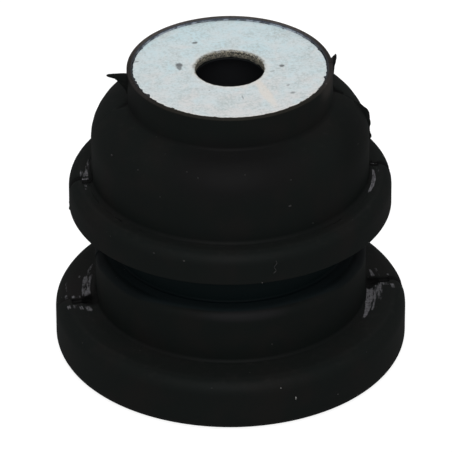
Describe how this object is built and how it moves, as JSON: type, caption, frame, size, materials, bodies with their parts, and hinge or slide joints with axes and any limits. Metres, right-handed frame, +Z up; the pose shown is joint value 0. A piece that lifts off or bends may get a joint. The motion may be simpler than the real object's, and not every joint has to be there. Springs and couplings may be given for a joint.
{
  "type": "vibration damper",
  "caption": "Round rubber vibration damper with a ring groove for a housing wall, a domed top and a bonded steel disc with a screw hole.",
  "frame": {"origin": "centre of the base flange's underside, on the damper's axis", "axes": "+Z up along the axis and out through the steel disc, X in the plane where the mould halves part"},
  "size_m": [0.035, 0.035, 0.0321],
  "materials": {
    "rubber": "satin black moulded rubber",
    "plated_steel": "dull zinc plate"
  },
  "bodies": {
    "root": {"rubber_body": "rubber", "top_plate": "plated_steel"}
  },
  "joints": []
}
